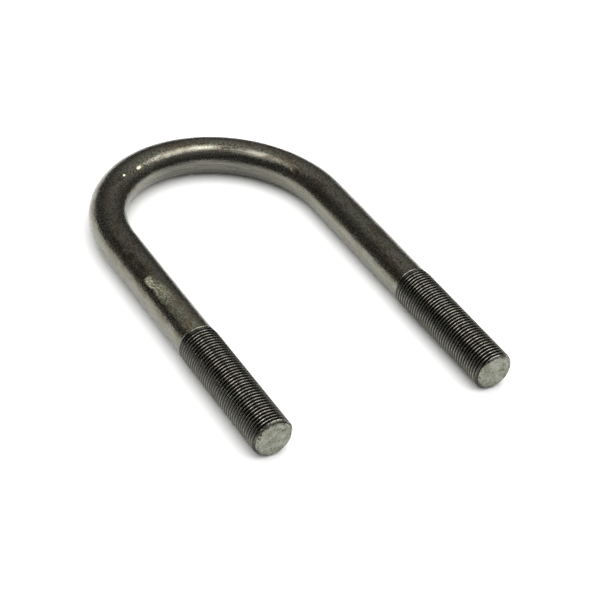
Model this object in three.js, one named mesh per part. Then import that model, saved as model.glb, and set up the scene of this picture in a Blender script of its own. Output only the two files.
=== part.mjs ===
// U-bolt for a round tube: one steel bar bent into a U, with a thread rolled on the end of each leg.
// It lies flat: the legs run along Y with their ends at -Y, the bend is at +Y and Z is up.
// The origin is under the middle of the bolt, on the surface that it lies on. Sizes are in millimetres.
import * as THREE from "three";

// Driving dimensions.
const threadDiameter = 15.875; // over the crests, 5/8 in
const threadPitch = 25.4 / 18; // 18 threads to the inch
const threadLength = 57.15; // from the leg's end to where the thread has faded out
const runOutLength = 3.6; // the stretch over which the thread fades into the shank
const chamferWidth = 1.25; // taken off the radius at the leg's end
const chamferLength = 1.3; // measured along the leg
const insideWidth = 77.8; // clear gap between the two shanks, for a tube of 76.2
const insideLength = 158.75; // from the inside of the bend to the ends of the legs

// Facets.
const sidesRound = 20; // flats round the bar, a multiple of 4 so that a corner lies lowest
const bendSteps = 28; // straight pieces in the half circle of the bend

// A thread of 60 degrees, with a flat on the crest and a sharp root. Rolling it moves the metal of a
// bar of the pitch diameter, so that is what the plain shank measures.
const threadDepth = (17 / 24) * Math.sqrt(3 / 4) * threadPitch;
const crestFlat = threadPitch / 8;
const pitchDiameter = threadDiameter - (3 / 4) * Math.sqrt(3 / 4) * threadPitch;

const crestRadius = threadDiameter / 2;
const rootRadius = crestRadius - threadDepth;
const shankRadius = pitchDiameter / 2;
const endRadius = crestRadius - chamferWidth;

// The centre line of the bar: up one leg, round the bend and down the other leg.
const bendRadius = insideWidth / 2 + shankRadius;
const legLength = insideLength - (bendRadius - shankRadius);
const barLength = 2 * legLength + Math.PI * bendRadius;
const bendCentreY = (legLength - bendRadius - shankRadius) / 2;

// The centre line at a distance along the bar, from the end of the right leg, round the bend, to the
// end of the left leg. inward points from it towards the inside of the U.
function centreLine(distance) {
  const bendLength = barLength - 2 * legLength;
  const angle = THREE.MathUtils.clamp(distance - legLength, 0, bendLength) / bendRadius;
  const beforeBend = Math.max(legLength - distance, 0);
  const pastBend = Math.max(distance - legLength - bendLength, 0);
  const inward = new THREE.Vector3(-Math.cos(angle), -Math.sin(angle), 0);
  const point = new THREE.Vector3(0, bendCentreY - beforeBend - pastBend, crestRadius);
  point.addScaledVector(inward, -bendRadius);
  return { point, inward };
}

// How far the chamfer lets the bar's surface reach at this distance from a leg's end.
const chamferRadius = (distance) => endRadius + (chamferWidth * distance) / chamferLength;

// One turn of the thread as [distance, radius] pairs, with the middle of its crest at 0.
const threadTurn = [
  [-crestFlat / 2, crestRadius],
  [crestFlat / 2, crestRadius],
  [threadPitch / 2, rootRadius],
];

// The outline of one leg from its end to where the thread has faded out, along the line where the
// thread has risen by a share of its pitch.
function legOutline(rise) {
  const outline = [];
  for (let turn = -1; turn * threadPitch < threadLength; turn++) {
    for (const [offset, radius] of threadTurn) {
      const distance = (turn + rise) * threadPitch + offset;
      const shown = Math.min((threadLength - distance) / runOutLength, 1);
      if (shown > 0) outline.push([distance, THREE.MathUtils.lerp(shankRadius, radius, shown)]);
    }
  }
  return chamfered(outline);
}

// An outline cut back to the chamfer, with a new point wherever it crosses the chamfer's line.
function chamfered(outline) {
  const cut = [[0, endRadius]];
  let [lastDistance, lastRadius] = outline[0];
  for (const [distance, radius] of outline) {
    const over = radius - chamferRadius(distance);
    const lastOver = lastRadius - chamferRadius(lastDistance);
    if (over * lastOver < 0) {
      const crossing = THREE.MathUtils.lerp(lastDistance, distance, lastOver / (lastOver - over));
      if (crossing > 0) cut.push([crossing, chamferRadius(crossing)]);
    }
    if (over <= 0 && distance > 0) cut.push([distance, radius]);
    [lastDistance, lastRadius] = [distance, radius];
  }
  return cut;
}

// One lengthwise line over the whole bar, at a share of the way round it. Both threads are right-handed,
// so seen from its own end the left leg's thread rises the other way.
function lengthwiseLine(share) {
  const angle = 2 * Math.PI * share;
  const rightLeg = legOutline(share);
  const leftLeg = legOutline(1 - share).map(([distance, radius]) => [barLength - distance, radius]);
  const bend = Array.from({ length: bendSteps + 1 }, (_, i) => {
    return [THREE.MathUtils.lerp(legLength, barLength - legLength, i / bendSteps), shankRadius];
  });
  return [...rightLeg, ...bend, ...leftLeg.reverse()].map(([distance, radius]) => {
    const { point, inward } = centreLine(distance);
    point.addScaledVector(inward, radius * Math.cos(angle));
    point.z += radius * Math.sin(angle);
    return { distance, point };
  });
}

// The triangles between two neighbouring lengthwise lines, which needn't have equally many points:
// each triangle takes the next point of whichever line lags behind.
function stripBetween(line, next) {
  const triangles = [];
  let i = 0;
  let j = 0;
  while (i < line.length - 1 || j < next.length - 1) {
    const lineLags = i < line.length - 1 && !(line[i + 1].distance > next[j + 1]?.distance);
    triangles.push(line[i].id, next[j].id, lineLags ? line[++i].id : next[++j].id);
  }
  return triangles;
}

// The bar's closed surface: a strip of triangles between each pair of lengthwise lines, and a flat fan
// over each end.
function barGeometry() {
  const positions = [];
  const addVertex = (point) => positions.push(...point.toArray()) / 3 - 1;
  const lines = Array.from({ length: sidesRound }, (_, side) =>
    lengthwiseLine(side / sidesRound).map(({ distance, point }) => ({ distance, id: addVertex(point) })),
  );
  const rightEnd = addVertex(centreLine(0).point);
  const leftEnd = addVertex(centreLine(barLength).point);
  const index = lines.flatMap((line, side) => {
    const next = lines[(side + 1) % sidesRound];
    const ends = [rightEnd, next[0].id, line[0].id, leftEnd, line.at(-1).id, next.at(-1).id];
    return [...stripBetween(line, next), ...ends];
  });
  const geometry = new THREE.BufferGeometry();
  geometry.setAttribute("position", new THREE.Float32BufferAttribute(positions, 3));
  geometry.setIndex(index);
  geometry.computeVertexNormals();
  return geometry;
}

const plainSteel = new THREE.MeshStandardMaterial({
  color: 0x5b5a52,
  metalness: 0.9,
  roughness: 0.42,
  flatShading: true,
});

const bar = new THREE.Mesh(barGeometry(), plainSteel);
bar.name = "threaded_bar";

const uBolt = new THREE.Group();
uBolt.name = "u_bolt";
uBolt.add(bar);

export default uBolt;
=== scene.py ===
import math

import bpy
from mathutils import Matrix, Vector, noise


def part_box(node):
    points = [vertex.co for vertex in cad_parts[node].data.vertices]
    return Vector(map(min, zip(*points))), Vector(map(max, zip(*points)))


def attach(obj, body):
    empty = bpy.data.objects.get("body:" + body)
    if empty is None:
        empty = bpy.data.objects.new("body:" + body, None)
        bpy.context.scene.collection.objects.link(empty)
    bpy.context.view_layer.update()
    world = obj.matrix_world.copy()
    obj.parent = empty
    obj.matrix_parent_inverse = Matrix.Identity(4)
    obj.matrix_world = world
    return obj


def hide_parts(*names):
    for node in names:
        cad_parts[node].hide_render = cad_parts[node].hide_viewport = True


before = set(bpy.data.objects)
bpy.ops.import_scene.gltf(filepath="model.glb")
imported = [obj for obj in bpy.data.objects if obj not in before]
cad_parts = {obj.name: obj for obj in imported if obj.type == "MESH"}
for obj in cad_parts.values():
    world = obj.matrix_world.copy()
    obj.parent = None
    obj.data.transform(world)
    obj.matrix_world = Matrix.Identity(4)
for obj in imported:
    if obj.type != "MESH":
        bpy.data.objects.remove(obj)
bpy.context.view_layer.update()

# A U-bolt: one bent bar of plain steel with a thread on each leg, lying on a pale floor.
#
# Places on the bar are those on the straight bar that it was bent from, in millimetres: the distance
# along it from the right leg's end, and across it how far inward (towards the inside of the U) and how
# far up. Round the bar, 0 degrees is on the inside of the U and 90 degrees is on top.

MM = 0.001

# ---- sizes of the bar, in millimetres, as in the CAD ---------------------------------------------
THREAD_DIAMETER = 15.875
THREAD_PITCH = 25.4 / 18
THREAD_LENGTH = 57.15
RUN_OUT_LENGTH = 3.6
CHAMFER_WIDTH = 1.25
CHAMFER_LENGTH = 1.3
INSIDE_WIDTH = 77.8

CREST_RADIUS = THREAD_DIAMETER / 2
THREAD_DEPTH = 17 / 24 * math.sqrt(3 / 4) * THREAD_PITCH
SHANK_RADIUS = (THREAD_DIAMETER - 3 / 4 * math.sqrt(3 / 4) * THREAD_PITCH) / 2
END_RADIUS = CREST_RADIUS - CHAMFER_WIDTH
BEND_RADIUS = INSIDE_WIDTH / 2 + SHANK_RADIUS

low, high = (Vector(corner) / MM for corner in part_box("threaded_bar"))
LEG_LENGTH = (high.y - low.y) - BEND_RADIUS - SHANK_RADIUS
BEND_LENGTH = math.pi * BEND_RADIUS
BAR_LENGTH = 2 * LEG_LENGTH + BEND_LENGTH
BEND_CENTRE_Y = low.y + LEG_LENGTH

# ---- camera, in metres, with its lens in millimetres ---------------------------------------------
# It looks from -Y at an azimuth of 0, and from further towards +X at a positive one.
CAMERA_AZIMUTH = math.radians(-35.42)
CAMERA_ELEVATION = math.radians(37.18)
CAMERA_ROLL = math.radians(8.40)
CAMERA_DISTANCE = 0.6857
CAMERA_AIM = Vector((0.0013, -0.0228, 0.00794))
CAMERA_LENS = 109.8
CAMERA_SENSOR = 36


def add_camera():
    a, e, r = CAMERA_AZIMUTH, CAMERA_ELEVATION, CAMERA_ROLL
    back = Vector((math.sin(a) * math.cos(e), -math.cos(a) * math.cos(e), math.sin(e)))
    level = Vector((math.cos(a), math.sin(a), 0))
    upright = back.cross(level)
    right = math.cos(r) * level + math.sin(r) * upright
    up = -math.sin(r) * level + math.cos(r) * upright
    data = bpy.data.cameras.new("camera")
    data.lens = CAMERA_LENS
    data.sensor_width = CAMERA_SENSOR
    camera = bpy.data.objects.new("camera", data)
    turn = Matrix((right, up, back)).transposed().to_4x4()
    camera.matrix_world = Matrix.Translation(CAMERA_AIM + back * CAMERA_DISTANCE) @ turn
    bpy.context.collection.objects.link(camera)
    bpy.context.scene.camera = camera


# ---- stage, in metres ----------------------------------------------------------------------------
LAMP_COLOUR = (1, 0.99, 0.95)
CEILING_COLOUR = (1, 1, 0.97, 1)
FLOOR_COLOUR = (0.93, 0.93, 0.925, 1)
FLOOR_SIZE = 8.0

# The room gets lighter towards this direction. From is the cosine of the angle to it, To the strength.
ROOM_AXIS = (0.30, 0.0, 0.954)
ROOM_FADE = {"From Min": 0.36, "From Max": 1.0, "To Min": 0.10, "To Max": 0.54}


def add_area_light(name, direction, distance, size, radiance, seen_in_gloss=True, colour=LAMP_COLOUR):
    """A lamp that faces the origin, and that is seen either in gloss only or by dull surfaces only."""
    data = bpy.data.lights.new(name, "AREA")
    data.shape = "RECTANGLE"
    data.size, data.size_y = size
    data.energy = radiance * math.pi * size[0] * size[1]
    data.color = colour
    light = bpy.data.objects.new(name, data)
    way = Vector(direction).normalized()
    sideways = Vector((0, 1, 0)).cross(way).normalized()
    turn = Matrix((sideways, way.cross(sideways), way)).transposed().to_4x4()
    light.matrix_world = Matrix.Translation(way * distance) @ turn
    light.visible_glossy = seen_in_gloss
    light.visible_diffuse = not seen_in_gloss
    bpy.context.collection.objects.link(light)


def add_room():
    """A dim studio: dark near the ground, lighter towards the ceiling."""
    world = bpy.data.worlds.new("studio")
    world.use_nodes = True
    tree = world.node_tree
    way = tree.nodes.new("ShaderNodeTexCoord").outputs["Generated"]
    height = tree.nodes.new("ShaderNodeVectorMath")
    height.operation = "DOT_PRODUCT"
    tree.links.new(way, height.inputs[0])
    height.inputs[1].default_value = ROOM_AXIS
    fade = tree.nodes.new("ShaderNodeMapRange")
    fade.interpolation_type = "SMOOTHSTEP"
    tree.links.new(height.outputs["Value"], fade.inputs["Value"])
    for name, value in ROOM_FADE.items():
        fade.inputs[name].default_value = value
    background = tree.nodes["Background"]
    background.inputs["Color"].default_value = CEILING_COLOUR
    tree.links.new(fade.outputs[0], background.inputs["Strength"])
    bpy.context.scene.world = world


def add_floor():
    half = FLOOR_SIZE / 2
    mesh = bpy.data.meshes.new("floor")
    corners = [(-half, -half, 0), (half, -half, 0), (half, half, 0), (-half, half, 0)]
    mesh.from_pydata(corners, [], [(0, 1, 2, 3)])
    floor = bpy.data.objects.new("floor", mesh)
    bpy.context.collection.objects.link(floor)
    material = bpy.data.materials.new("pale_floor")
    material.use_nodes = True
    shader = material.node_tree.nodes["Principled BSDF"]
    shader.inputs["Base Color"].default_value = FLOOR_COLOUR
    shader.inputs["Roughness"].default_value = 0.9
    shader.inputs["Specular IOR Level"].default_value = 0.0
    mesh.materials.append(material)


def add_stage():
    """The first two lamps make the highlights on the steel, and the fill lights all that is dull."""
    bpy.context.scene.view_settings.view_transform = "Standard"
    add_room()
    add_floor()
    add_area_light("softbox", (0.42, -0.17, 0.89), 1.2, (0.74, 0.50), 4.8)
    add_area_light("side_panel", (-0.36, -0.02, 0.93), 1.2, (0.55, 0.90), 2.1)
    add_area_light("fill", (0.0, 0.0, 1.0), 2.2, (6.0, 6.0), 1.9, seen_in_gloss=False, colour=(1, 1, 1))


# ---- the bar's outline ---------------------------------------------------------------------------
# Facets: sides round the bar, rows round the bend and about how long a row of the straight shank is.
SIDES = 80
ANGLES = [2 * math.pi * side / SIDES for side in range(SIDES)]
BEND_ROWS = 160
SHANK_ROW = 1.6

# The edge round a cut face is broken by this much, and rows at these distances from it keep it crisp.
RIM_BREAK = 0.02
RIM_ROWS = (0.03, 0.18)
FACE_RADIUS = END_RADIUS - RIM_BREAK
FACE_RINGS = 8
CHAMFER_BULGE = 0.5

# One turn of the thread: (distance from the crest's middle, depth below the crest).
THREAD_TURN = [
    (-0.285, 0.165), (-0.165, 0.045), (0.0, 0.0), (0.165, 0.045), (0.285, 0.165), (0.520, 0.660),
    (0.620, 0.810), (THREAD_PITCH / 2, THREAD_DEPTH), (0.791, 0.810), (0.891, 0.660),
]


def chamfer_radius(distance):
    """The chamfer bulges a little, so that it meets the crests gently."""
    share = distance / CHAMFER_LENGTH
    return END_RADIUS + CHAMFER_WIDTH * (share + CHAMFER_BULGE * share * max(1 - share, 0))


def thread_outline(rise):
    """(distance, radius) pairs of an unchamfered thread, where it has risen by a share of its pitch."""
    outline = []
    turn = -2
    while turn * THREAD_PITCH < THREAD_LENGTH:
        for offset, depth in THREAD_TURN:
            distance = (turn + rise) * THREAD_PITCH + offset
            shown = min((THREAD_LENGTH - distance) / RUN_OUT_LENGTH, 1)
            if shown > 0:
                outline.append((distance, SHANK_RADIUS + (CREST_RADIUS - depth - SHANK_RADIUS) * shown))
        turn += 1
    return outline


def leg_outline(rise):
    """The thread cut back to its chamfer, with a new point wherever the two cross."""
    outline = thread_outline(rise)
    cut = [(0.0, FACE_RADIUS), *((distance, chamfer_radius(distance)) for distance in RIM_ROWS)]
    last_distance, last_radius = outline[0]
    for distance, radius in outline:
        over = radius - chamfer_radius(distance)
        last_over = last_radius - chamfer_radius(last_distance)
        if over * last_over < 0:
            crossing = last_distance + (distance - last_distance) * last_over / (last_over - over)
            if crossing > RIM_ROWS[-1]:
                cut.append((crossing, chamfer_radius(crossing)))
        if distance > RIM_ROWS[-1]:
            cut.append((distance, min(radius, chamfer_radius(distance))))
        last_distance, last_radius = distance, radius
    return cut


def lengthwise_line(share):
    """(distance, radius) pairs over the whole bar, at a share of the way round it."""
    right = leg_outline(share)
    left = [(BAR_LENGTH - distance, radius) for distance, radius in reversed(leg_outline(1 - share))]
    straight = LEG_LENGTH - THREAD_LENGTH
    count = round(straight / SHANK_ROW)
    steps = [THREAD_LENGTH + straight * (i + 0.5) / count for i in range(count)]
    bend = [LEG_LENGTH + BEND_LENGTH * i / BEND_ROWS for i in range(BEND_ROWS + 1)]
    rows = [*steps, *bend, *(BAR_LENGTH - step for step in reversed(steps))]
    return [*right, *((distance, SHANK_RADIUS) for distance in rows), *left]


def bar_place(distance, inward, up):
    """A point of the bent bar, from its place on the straight bar."""
    angle = min(max(distance - LEG_LENGTH, 0), BEND_LENGTH) / BEND_RADIUS
    before = max(LEG_LENGTH - distance, 0)
    past = max(distance - LEG_LENGTH - BEND_LENGTH, 0)
    outward = Vector((math.cos(angle), math.sin(angle), 0))
    point = Vector((0, BEND_CENTRE_Y - before - past, CREST_RADIUS))
    return point + outward * (BEND_RADIUS - inward) + Vector((0, 0, up))


# ---- wear of the surface -------------------------------------------------------------------------
# The surface lies a little low, and slow swells and small ripples run over it: each has its height,
# its length along the bar, how closely it follows round the bar and its place in the noise.
WEAR = 0.030
SWELLS = (0.030, 7, 1.3, 0)
RIPPLES = (0.012, 2.2, 3.4, 9)

# Nicks: (distance along the bar, degrees round it, length, width, depth). The bright ones are bare.
BRIGHT_NICKS = [
    (216.3, 57, 3.2, 1.0, 0.16),
    (226.1, 71, 2.0, 0.8, 0.12),
]
DULL_NICKS = [
    (135.8, 44, 2.0, 1.0, 0.14),
    (172.0, 55, 1.6, 1.0, 0.08),
    (300.5, 121, 2.4, 1.3, 0.10),
    (306.5, 116, 2.8, 1.2, 0.10),
    (312.0, 108, 2.6, 1.2, 0.09),
    (309.0, 132, 2.0, 1.2, 0.08),
    (98.0, 72, 3.0, 0.9, 0.06),
]
NICK_REACH = 1.5  # a nick has faded out at this many of its lengths


def surface_lift(distance, angle):
    """How far the worn surface stands above or below the true radius here."""
    around = Vector((math.cos(angle), math.sin(angle)))
    lift = -WEAR
    for height, length, closeness, shift in (SWELLS, RIPPLES):
        spot = (distance / length, around.x * closeness + shift, around.y * closeness)
        lift += height * noise.noise(Vector(spot))
    for at, degrees, length, width, depth in BRIGHT_NICKS + DULL_NICKS:
        along = (distance - at) / length
        if abs(along) < NICK_REACH:
            turn = (math.degrees(angle) - degrees + 180) % 360 - 180
            across = math.radians(turn) * SHANK_RADIUS / width
            lift -= depth * math.exp(-2 * (along * along + across * across))
    return lift


# ---- the bar's map -------------------------------------------------------------------------------
# The unrolled bar lies on square cells, one for each thread and six for the shank, and the last cell
# holds the cut faces. The export bakes on a map of this name, and otherwise makes one of slivers.
UV_MAP = "OFBake"
MAP_CELLS = 3
MAP_MARGIN = 0.04
FACE_ON_MAP = 0.22
SHANK_STRIPS = MAP_CELLS * MAP_CELLS - 3
STRIP_LENGTH = (BAR_LENGTH - 2 * THREAD_LENGTH) / SHANK_STRIPS
STRIPS = [0.0, *(THREAD_LENGTH + STRIP_LENGTH * i for i in range(SHANK_STRIPS + 1)), BAR_LENGTH]


def side_uv(distance, turn, cell_distance):
    """A point of the bar's side on the map, in the cell that the other distance falls in."""
    cell = max(i for i, start in enumerate(STRIPS[:-1]) if start <= max(cell_distance, 0))
    along = (distance - STRIPS[cell]) / (STRIPS[cell + 1] - STRIPS[cell])
    filled = 1 - 2 * MAP_MARGIN
    row, column = divmod(cell, MAP_CELLS)
    u = column + MAP_MARGIN + filled * along
    v = row + MAP_MARGIN + filled * turn
    return u / MAP_CELLS, v / MAP_CELLS


def end_uv(place, is_left):
    """A point of a cut face on the map, where the two faces share the last cell."""
    scale = FACE_ON_MAP / FACE_RADIUS
    u = MAP_CELLS - 1 + (0.75 if is_left else 0.25) + scale * place.y
    v = MAP_CELLS - 0.5 + scale * place.z
    return u / MAP_CELLS, v / MAP_CELLS


# ---- the bar's mesh ------------------------------------------------------------------------------
# The numbers of its materials, and how far from each end the thread's material reaches.
SHANK, THREAD, CUT = range(3)
THREAD_LOOK_LENGTH = THREAD_LENGTH - RUN_OUT_LENGTH * 0.4

# The mesh carries the place of each of its points on the straight bar under this name.
STRAIGHT_BAR = "straight_bar"
SHARP_ANGLE = math.radians(42)


class BarMesh:
    """The bar's points, bent and straight, and its faces with their materials and their map."""

    def __init__(self):
        self.places = []
        self.straight_places = []
        self.faces = []
        self.slots = []
        self.uvs = []

    def add_vertex(self, distance, radius, angle):
        inward, up = radius * math.cos(angle), radius * math.sin(angle)
        self.straight_places.append(Vector((distance, inward, up)))
        self.places.append(bar_place(distance, inward, up))
        return len(self.places) - 1

    def add_face(self, corners, slot, corner_uvs):
        self.faces.append(corners)
        self.slots.append(slot)
        self.uvs.extend(corner_uvs)

    def add_line(self, side):
        """One lengthwise line of the worn surface, as (distance, vertex) pairs."""
        line = []
        for distance, radius in lengthwise_line(side / SIDES):
            worn = radius + surface_lift(distance, ANGLES[side])
            line.append((distance, self.add_vertex(distance, worn, ANGLES[side])))
        return line

    def add_strip(self, side, line, other):
        """Triangles between two neighbouring lines: each goes on along the line that lags behind."""
        i = j = 0
        while i < len(line) - 1 or j < len(other) - 1:
            line_lags = i < len(line) - 1 and (j == len(other) - 1 or line[i + 1][0] <= other[j + 1][0])
            ahead = (*line[i + 1], side) if line_lags else (*other[j + 1], side + 1)
            corners = ((*line[i], side), (*other[j], side + 1), ahead)
            here = line[i][0]
            slot = THREAD if min(here, BAR_LENGTH - here) < THREAD_LOOK_LENGTH else SHANK
            corner_uvs = [side_uv(distance, turn / SIDES, here) for distance, _, turn in corners]
            self.add_face([vertex for _, vertex, _ in corners], slot, corner_uvs)
            if line_lags:
                i += 1
            else:
                j += 1

    def add_end(self, distance, rim, is_left):
        """A cut face within its rim of vertices: rings of quads, and a fan round the middle."""
        def add(*corners):
            outwards = corners if is_left else corners[::-1]
            self.add_face(outwards, CUT, [end_uv(self.straight_places[c], is_left) for c in outwards])

        outer = rim
        for ring in range(FACE_RINGS - 1, 0, -1):
            radius = FACE_RADIUS * ring / FACE_RINGS
            inner = [self.add_vertex(distance, radius, angle) for angle in ANGLES]
            for side in range(SIDES):
                after = (side + 1) % SIDES
                add(outer[side], outer[after], inner[after], inner[side])
            outer = inner
        middle = self.add_vertex(distance, 0, 0)
        for side in range(SIDES):
            add(outer[side], outer[(side + 1) % SIDES], middle)

    def to_object(self, name, rims):
        """The finished object, with sharp edges along the rims."""
        mesh = bpy.data.meshes.new(name)
        mesh.from_pydata([place * MM for place in self.places], [], self.faces)
        mesh.polygons.foreach_set("use_smooth", [True] * len(self.faces))
        mesh.polygons.foreach_set("material_index", self.slots)
        straight = mesh.attributes.new(STRAIGHT_BAR, "FLOAT_VECTOR", "POINT")
        straight.data.foreach_set("vector", [c for place in self.straight_places for c in place])
        mesh.uv_layers.new(name=UV_MAP).data.foreach_set("uv", [c for uv in self.uvs for c in uv])
        mesh.set_sharp_from_angle(angle=SHARP_ANGLE)
        for edge in mesh.edges:
            if rims.issuperset(edge.vertices):
                edge.use_edge_sharp = True
        mesh.update()
        made = bpy.data.objects.new(name, mesh)
        bpy.context.collection.objects.link(made)
        return made


def build_bar():
    mesh = BarMesh()
    lines = [mesh.add_line(side) for side in range(SIDES)]
    for side, line in enumerate(lines):
        mesh.add_strip(side, line, lines[(side + 1) % SIDES])
    right_rim = [line[0][1] for line in lines]
    left_rim = [line[-1][1] for line in lines]
    mesh.add_end(0.0, right_rim, is_left=False)
    mesh.add_end(BAR_LENGTH, left_rim, is_left=True)
    return mesh.to_object("u_bolt_bar", {*right_rim, *left_rim})


# ---- materials -----------------------------------------------------------------------------------
class Nodes:
    """Short names for the nodes of one material."""

    def __init__(self, name):
        self.material = bpy.data.materials.new(name)
        self.material.use_nodes = True
        self.tree = self.material.node_tree
        self.shader = self.tree.nodes["Principled BSDF"]

    def finish(self, colour, rough, normal, metal=1.0):
        for name, value in (
            ("Base Color", colour), ("Roughness", rough), ("Normal", normal), ("Metallic", metal),
        ):
            self.put(self.shader.inputs[name], value)
        return self.material

    def add(self, kind, **settings):
        node = self.tree.nodes.new(kind)
        for key, value in settings.items():
            setattr(node, key, value)
        return node

    def put(self, socket, value):
        if isinstance(value, (int, float, tuple)):
            socket.default_value = value
        else:
            self.tree.links.new(value, socket)

    def calc(self, operation, *values, clamp=False):
        node = self.add("ShaderNodeMath", operation=operation, use_clamp=clamp)
        for socket, value in zip(node.inputs, values):
            self.put(socket, value)
        return node.outputs[0]

    def plus(self, first, second):
        return self.calc("ADD", first, second)

    def minus(self, first, second):
        return self.calc("SUBTRACT", first, second)

    def times(self, first, second):
        return self.calc("MULTIPLY", first, second)

    def ramp(self, value, low, high, to_low=0.0, to_high=1.0):
        node = self.add("ShaderNodeMapRange", interpolation_type="SMOOTHSTEP")
        for socket, setting in zip(node.inputs, (value, low, high, to_low, to_high)):
            self.put(socket, setting)
        return node.outputs[0]

    def mix(self, factor, first, second):
        node = self.add("ShaderNodeMix", data_type="RGBA")
        self.put(node.inputs["Factor"], factor)
        self.put(node.inputs["A"], first)
        self.put(node.inputs["B"], second)
        return node.outputs["Result"]

    def bump(self, height, distance, below=None):
        node = self.add("ShaderNodeBump")
        node.inputs["Strength"].default_value = 1.0
        node.inputs["Distance"].default_value = distance
        self.put(node.inputs["Height"], height)
        if below is not None:
            self.put(node.inputs["Normal"], below)
        return node.outputs[0]

    def place(self, scale, shift=(0, 0, 0)):
        """The place on the straight bar, times a scale along it, inward and up, plus a shift."""
        source = self.add("ShaderNodeAttribute", attribute_name=STRAIGHT_BAR).outputs["Vector"]
        node = self.add("ShaderNodeVectorMath", operation="MULTIPLY_ADD")
        self.put(node.inputs[0], source)
        node.inputs[1].default_value = scale
        node.inputs[2].default_value = shift
        return node.outputs[0]

    def noise(self, scale, detail=3.0, roughness=0.55, distortion=0.0, shift=(0, 0, 0)):
        node = self.add("ShaderNodeTexNoise")
        self.put(node.inputs["Vector"], self.place(scale, shift))
        node.inputs["Scale"].default_value = 1.0
        node.inputs["Detail"].default_value = detail
        node.inputs["Roughness"].default_value = roughness
        node.inputs["Distortion"].default_value = distortion
        return node.outputs["Fac"]

    def parts(self):
        """The place on the straight bar as its three parts: along, inward and up."""
        split = self.add("ShaderNodeSeparateXYZ")
        self.put(split.inputs[0], self.place((1, 1, 1)))
        return split.outputs

    def radius(self):
        """Millimetres from the middle of the bar."""
        _, inward, up = self.parts()
        return self.calc("SQRT", self.plus(self.times(inward, inward), self.times(up, up)))

    def sideways(self):
        """Millimetres from the middle of a leg towards +X, the same way on both legs."""
        along, inward, _ = self.parts()
        return self.times(inward, self.ramp(along, BAR_LENGTH / 2 - 1, BAR_LENGTH / 2 + 1, -1.0, 1.0))

    def edge_arc(self, degrees):
        """Millimetres round the shank from a line at some degrees, growing towards 0 degrees."""
        _, inward, up = self.parts()
        angle = self.calc("ARCTAN2", up, inward)
        return self.times(self.minus(math.radians(degrees), angle), SHANK_RADIUS)

    def spot(self, at, degrees, length, width):
        """1 at a point of the shank, falling raggedly to 0 at a length and a width from it."""
        angle = math.radians(degrees)
        centre = Vector((at, SHANK_RADIUS * math.cos(angle), SHANK_RADIUS * math.sin(angle)))
        away = self.add("ShaderNodeVectorMath", operation="SUBTRACT")
        self.put(away.inputs[0], self.place((1 / length, 1 / width, 1 / width)))
        away.inputs[1].default_value = (centre.x / length, centre.y / width, centre.z / width)
        far = self.add("ShaderNodeVectorMath", operation="LENGTH")
        self.put(far.inputs[0], away.outputs[0])
        ragged = self.times(self.noise((0.5 / width, 0.9 / width, 0.9 / width)), 0.9)
        return self.minus(self.minus(1.45, far.outputs["Value"]), ragged)


# ---- the plain shank -----------------------------------------------------------------------------
OLIVE_STEEL = (0.203, 0.208, 0.168, 1)
WARM_STEEL = (0.214, 0.205, 0.174, 1)
STREAK = (0.320, 0.316, 0.272, 1)
BROWN_FILM = (0.125, 0.098, 0.068, 1)
DARK_MOTTLE = (0.075, 0.064, 0.046, 1)
LIGHT_MOTTLE = (0.340, 0.335, 0.270, 1)
DARK_SPECKS = (0.070, 0.060, 0.044, 1)
# Painted shade for the inside of the bend, where it reflects the shaded floor.
BEND_SHADE = ((0.086, 0.083, 0.072, 1), (0.146, 0.142, 0.124, 1))
RUST = ((0.104, 0.072, 0.048, 1), (0.272, 0.216, 0.160, 1))
BARE_NICK = (0.800, 0.750, 0.540, 1)
RUBBED = (0.600, 0.630, 0.450, 1)
RUBBED_RUSTY = (0.420, 0.300, 0.190, 1)
RUBBED_SPECKS = (0.128, 0.112, 0.080, 1)

# Over which distances along the bar the painted shade on the inside of the bend fades in, and out
# again.
BEND_SHADE_IN = (130, 158)
BEND_SHADE_OUT = (214, 196)

# Where the rubbed patch on top of the left leg starts and ends, and the degrees of its outer edge.
PATCH_START = 294
PATCH_END = 320
PATCH_EDGE = 130

# The rusty patch on the right leg: (distance along the bar, degrees round it, length, width).
RUST_PATCH = (66, 50, 11, 2.6)

# Stains, with painted highlights and painted shade among them: (distance along the bar, degrees round
# it, length, width, strength, colour).
STAINS_AND_PAINTED_LIGHT = [
    (180.0, 58, 15.0, 2.6, 0.75, (0.335, 0.335, 0.275, 1)),  # painted highlights along the crown, where the lamps' streak lies
    (157.0, 57, 11.0, 2.0, 0.75, (0.400, 0.375, 0.325, 1)),
    (240.0, 186, 16.0, 4.0, 0.80, (0.070, 0.060, 0.045, 1)),  # painted shade on the bend's lower outer edge on the left, dimming its floor-lit band
    (290.0, 114, 6.0, 2.4, 0.85, (0.050, 0.040, 0.030, 1)),  # dark steel before the rubbed patch
    (281.0, 117, 4.0, 2.2, 0.75, (0.050, 0.062, 0.032, 1)),
    (134.0, 46, 1.6, 1.8, 0.90, (0.030, 0.027, 0.020, 1)),  # the mark on the bend, and its bright edge
    (137.8, 44, 1.0, 0.8, 0.80, (0.620, 0.520, 0.450, 1)),
    (172.0, 55, 2.0, 0.9, 0.80, (0.130, 0.075, 0.045, 1)),  # brown spots
    (246.0, 95, 9.0, 2.6, 0.50, (0.160, 0.115, 0.075, 1)),
    (112.0, 44, 9.0, 1.8, 0.60, (0.130, 0.095, 0.062, 1)),
    (92.0, 40, 8.0, 1.6, 0.60, (0.140, 0.100, 0.066, 1)),
    (124.0, 60, 5.0, 1.6, 0.50, (0.130, 0.095, 0.065, 1)),
    (78.0, 52, 6.0, 1.5, 0.50, (0.120, 0.085, 0.058, 1)),
]


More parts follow.
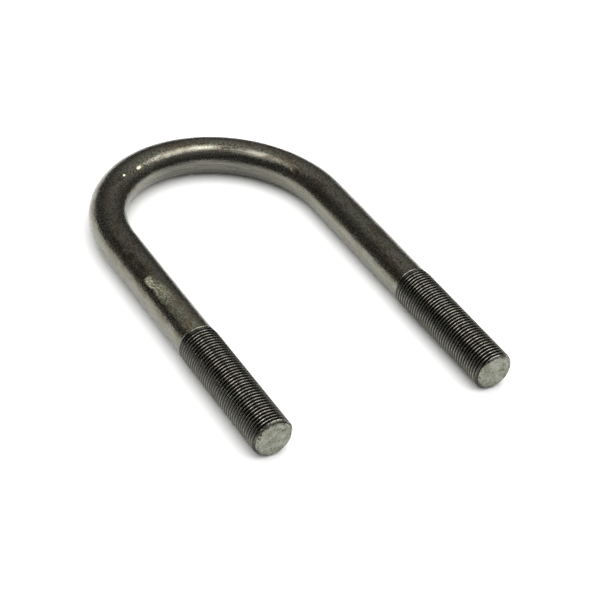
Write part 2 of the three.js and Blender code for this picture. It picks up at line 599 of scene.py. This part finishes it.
def rubbed_patch(n, along):
    """1 on the lighter patch on top of the left leg: it starts abruptly and widens to the thread."""
    wobble = n.minus(n.noise((0.45, 0.8, 0.8), detail=4, roughness=0.65), 0.5)
    started = n.ramp(n.plus(along, n.times(wobble, 3.0)), PATCH_START + 0.6, PATCH_START + 1.6)
    aside = n.plus(n.edge_arc(PATCH_EDGE), n.times(wobble, 3.5))
    width = n.ramp(along, PATCH_START, PATCH_END, 3.4, 9.0)
    mask = n.times(started, n.ramp(aside, -0.5, 0.5))
    mask = n.times(mask, n.ramp(n.calc("DIVIDE", aside, width), 1.15, 0.35))
    mask = n.times(mask, n.ramp(along, PATCH_START + 4, PATCH_END - 2, 1.0, 0.42))
    holes = n.noise((0.9, 1.3, 1.3), detail=4, roughness=0.7)
    return n.times(mask, n.ramp(holes, 0.58, 0.42, 0.35, 1.0))


def bend_shade_share(n, along, inward):
    """The share of the painted shade on the inside of the bend, fading out towards both legs."""
    mask = n.times(n.ramp(inward, 2.0, 6.0), n.ramp(along, *BEND_SHADE_IN))
    return n.times(mask, n.ramp(along, *BEND_SHADE_OUT, 0, 0.8))


def shank_steel():
    n = Nodes("shank_steel")
    along, inward, up = n.parts()
    film = n.noise((0.10, 0.26, 0.26), detail=6, roughness=0.68, distortion=0.8)
    tint = n.noise((0.16, 0.34, 0.34))
    streaks = n.noise((0.07, 2.1, 2.1), roughness=0.6)
    mottle = n.noise((1.3, 1.9, 1.9), detail=4, roughness=0.62)
    fine = n.noise((2.3, 3.4, 3.4), detail=2, roughness=0.6)
    dents = n.noise((0.30, 0.45, 0.45), detail=2)

    colour = n.mix(n.ramp(tint, 0.40, 0.60), OLIVE_STEEL, WARM_STEEL)
    colour = n.mix(n.ramp(streaks, 0.50, 0.70, 0, 0.35), colour, STREAK)
    topside = n.ramp(up, 1.2, 4.6, 0.28, 1.0)
    for share, layer in (
        (n.ramp(film, 0.47, 0.58, 0, 0.8), BROWN_FILM),
        (n.ramp(mottle, 0.50, 0.58, 0, 0.8), DARK_MOTTLE),
        (n.ramp(mottle, 0.43, 0.34, 0, 0.6), LIGHT_MOTTLE),
        (n.ramp(fine, 0.56, 0.66, 0, 0.6), DARK_SPECKS),
    ):
        colour = n.mix(n.times(topside, share), colour, layer)
    # Painted shade on the inside of the bend.
    colour = n.mix(bend_shade_share(n, along, inward), colour, n.mix(n.ramp(streaks, 0.42, 0.6), *BEND_SHADE))

    rust = n.ramp(n.spot(*RUST_PATCH), 0.2, 0.9, 0, 0.75)
    colour = n.mix(rust, colour, n.mix(n.ramp(streaks, 0.45, 0.6), *RUST))
    # Stains, painted highlights on the crown and painted shade on the bend's outer edge, laid on as
    # spots.
    for at, degrees, length, width, strength, spot_colour in STAINS_AND_PAINTED_LIGHT:
        share = n.ramp(n.spot(at, degrees, length, width), 0.2, 0.9, 0, strength)
        colour = n.mix(share, colour, spot_colour)

    patch = rubbed_patch(n, along)
    rusty = n.times(n.ramp(tint, 0.45, 0.60), n.ramp(along, PATCH_START + 11, PATCH_END, 0.15, 1.0))
    rubbed = n.mix(n.ramp(fine, 0.50, 0.64), n.mix(rusty, RUBBED, RUBBED_RUSTY), RUBBED_SPECKS)
    colour = n.mix(patch, colour, rubbed)
    metal = n.minus(1.0, n.times(patch, n.ramp(along, PATCH_START + 3, PATCH_END - 6, 0.45, 0.14)))
    for at, degrees, length, width, _ in BRIGHT_NICKS:
        bare = n.ramp(n.spot(at, degrees, length * 0.7, width * 0.9), 0.2, 0.6)
        colour = n.mix(bare, colour, BARE_NICK)
        metal = n.calc("SUBTRACT", metal, bare, clamp=True)

    rough = n.plus(n.ramp(mottle, 0.62, 0.38, 0.15, 0.30), n.ramp(film, 0.4, 0.65, 0.0, 0.08))
    rough = n.plus(rough, n.times(patch, 0.12))
    surface = n.bump(dents, 0.070 * MM)
    surface = n.bump(streaks, 0.020 * MM, surface)
    surface = n.bump(mottle, 0.040 * MM, surface)
    surface = n.bump(fine, 0.015 * MM, surface)
    return n.finish(colour, rough, surface, metal)


# ---- the threads and their chamfers --------------------------------------------------------------
PINK_CREST = (0.640, 0.600, 0.550, 1)
OLIVE_CREST = (0.600, 0.605, 0.520, 1)
GRAINY_CREST = (0.160, 0.136, 0.120, 1)
WORN_CREST = (0.150, 0.130, 0.115, 1)
# Painted shade: the crests darker on the bar's lower side.
LOWER_CREST_SHADE = (0.150, 0.158, 0.120, 1)
# Painted shade: the crests darker towards +X.
RIGHT_CREST_SHADE = (0.110, 0.104, 0.090, 1)
FLANK = (0.062, 0.060, 0.052, 1)
# Painted shade over a band of the thread's lower side.
LOWER_THREAD_SHADE = (0.052, 0.052, 0.045, 1)
# Near-black roots: dirt and painted shade in the grooves.
ROOT = (0.016, 0.014, 0.013, 1)
# The chamfer: painted shade underneath, and its own dark olive on top.
CHAMFER_SHADE_AND_OLIVE = ((0.022, 0.020, 0.016, 1), (0.120, 0.120, 0.095, 1))
# A pale lip of cut steel by the face, which on top is partly a painted highlight.
CHAMFER_LIP_AND_SHEEN = (0.300, 0.295, 0.245, 1)
CHAMFER_DIRT = (0.040, 0.037, 0.030, 1)
# A painted highlight on the top of the chamfer.
CHAMFER_GLINT = (0.780, 0.770, 0.700, 1)

# The brightest spot of the painted highlight on the chamfer of the right leg: (distance, degrees,
# length, width).
GLINT_SPOT = (0.9, 80, 1.4, 3.2)


def end_dirt(n):
    """Dark, greasy spots that gather towards the rim of a cut end."""
    grain = n.noise((1.1, 1.1, 1.1), detail=6, roughness=0.72, shift=(0.4, 0.7, 0.2))
    rim = n.ramp(n.radius(), FACE_RADIUS * 0.80, FACE_RADIUS * 1.02, 0.0, 0.12)
    return n.ramp(n.plus(grain, rim), 0.56, 0.72)


def thread_colour(n, grain, up):
    """Bright crests, painted darker on their lower and right sides as shade, between dark flanks and
    black roots.
    """
    tint = n.noise((0.12, 0.4, 0.4), detail=2)
    worn = n.noise((0.35, 0.5, 0.5))
    crest = n.mix(n.ramp(tint, 0.42, 0.58), PINK_CREST, OLIVE_CREST)
    crest = n.mix(n.ramp(grain, 0.50, 0.66, 0, 0.7), crest, GRAINY_CREST)
    crest = n.mix(n.ramp(worn, 0.42, 0.62, 0, 0.65), crest, WORN_CREST)
    # Painted shade: the crests darker on the lower side.
    crest = n.mix(n.ramp(up, 3.0, -1.0, 0, 0.75), crest, LOWER_CREST_SHADE)
    # Painted shade: the crests darker towards +X.
    crest = n.mix(n.ramp(n.sideways(), -2.8, 0.2, 0, 0.62), crest, RIGHT_CREST_SHADE)
    colour = n.mix(n.ramp(n.radius(), CREST_RADIUS - 0.18, CREST_RADIUS - 0.03), FLANK, crest)
    # Painted shade over a band of the thread's lower side.
    lower_thread_shade = n.times(n.ramp(up, 5.0, 3.4), n.ramp(up, -1.6, 2.6, 0.0, 0.88))
    colour = n.mix(lower_thread_shade, colour, LOWER_THREAD_SHADE)
    # Near-black roots: dirt and painted shade in the grooves.
    return n.mix(n.ramp(n.radius(), CREST_RADIUS - THREAD_DEPTH, CREST_RADIUS - 0.45), ROOT, colour)


def chamfer_mask(n, from_end, share):
    """1 on the cone of the chamfer, and 0 in the thread's grooves that run through it."""
    rise = n.times(share, n.minus(1 + CHAMFER_BULGE, n.times(share, CHAMFER_BULGE)))
    cone = n.plus(n.times(rise, CHAMFER_WIDTH), END_RADIUS)
    on_cone = n.ramp(n.minus(cone, n.radius()), 0.05, 0.25, 1, 0)
    return n.times(n.ramp(from_end, 1.6, 1.2), on_cone)


def thread_steel():
    n = Nodes("thread_steel")
    along, _, up = n.parts()
    grain = n.noise((0.8, 1.6, 1.6), roughness=0.6)
    from_end = n.calc("MINIMUM", along, n.minus(BAR_LENGTH, along))
    share = n.calc("DIVIDE", from_end, CHAMFER_LENGTH)
    chamfer = chamfer_mask(n, from_end, share)

    # Painted highlights on the top of the chamfer, brightest at the glint spot on the right leg.
    glint = n.times(n.ramp(up, 4.2, 6.0), n.ramp(grain, 0.56, 0.46, 0.0, 0.42))
    glint = n.calc("MAXIMUM", glint, n.ramp(n.spot(*GLINT_SPOT), 0.1, 0.4))
    glint = n.times(glint, n.ramp(share, 0.30, 0.50))
    # A pale lip of cut steel by the face, full on top, where it is partly a painted highlight, and
    # faint on the shaded lower side.
    lip_and_sheen = n.times(n.ramp(share, 0.34, 0.20), n.ramp(up, -5.5, 1.0, 0.10, 1.0))
    # The chamfer is painted in shade on its lower side.
    bare = n.mix(n.ramp(up, -3.5, 2.5), *CHAMFER_SHADE_AND_OLIVE)
    bare = n.mix(lip_and_sheen, bare, CHAMFER_LIP_AND_SHEEN)
    bare = n.mix(end_dirt(n), bare, CHAMFER_DIRT)
    bare = n.mix(glint, bare, CHAMFER_GLINT)

    colour = n.mix(chamfer, thread_colour(n, grain, up), bare)
    rough = n.plus(n.ramp(grain, 0.35, 0.7, 0.14, 0.30), n.times(chamfer, 0.10))
    # The painted highlight and the lip are made less metallic.
    dull = n.plus(n.times(glint, 0.55), n.times(lip_and_sheen, 0.35))
    metal = n.minus(1.0, n.times(chamfer, dull))
    return n.finish(colour, rough, n.bump(grain, 0.020 * MM), metal)


# ---- the cut faces -------------------------------------------------------------------------------
PALE_FACE = (0.322, 0.327, 0.286, 1)
OLIVE_FACE = (0.205, 0.212, 0.162, 1)
GRAINY_FACE = (0.160, 0.165, 0.125, 1)
FACE_PITS = (0.075, 0.080, 0.048, 1)
FACE_DIRT = (0.070, 0.070, 0.050, 1)


def cut_steel():
    n = Nodes("cut_steel")
    cloud = n.noise((0.36, 0.36, 0.36), detail=4, roughness=0.62, shift=(0.5, 3.2, 1.7))
    grain = n.noise((1.6, 1.6, 1.6), roughness=0.6, shift=(0.5, 0.3, 0.6))
    pits = n.noise((0.80, 0.95, 0.95), detail=2, roughness=0.5, shift=(0.5, 0.1, 0.4))
    colour = n.mix(n.ramp(cloud, 0.40, 0.60), PALE_FACE, OLIVE_FACE)
    colour = n.mix(n.ramp(grain, 0.46, 0.62, 0, 0.55), colour, GRAINY_FACE)
    colour = n.mix(n.ramp(pits, 0.61, 0.67, 0, 0.85), colour, FACE_PITS)
    colour = n.mix(end_dirt(n), colour, FACE_DIRT)
    rough = n.ramp(grain, 0.3, 0.7, 0.42, 0.55)
    surface = n.bump(cloud, 0.040 * MM)
    surface = n.bump(grain, 0.050 * MM, surface)
    surface = n.bump(pits, -0.120 * MM, surface)
    return n.finish(colour, rough, surface)


# ---- the scene -----------------------------------------------------------------------------------
add_camera()
add_stage()
bar = build_bar()
for steel in (shank_steel(), thread_steel(), cut_steel()):
    bar.data.materials.append(steel)
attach(bar, "root")
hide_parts("threaded_bar")
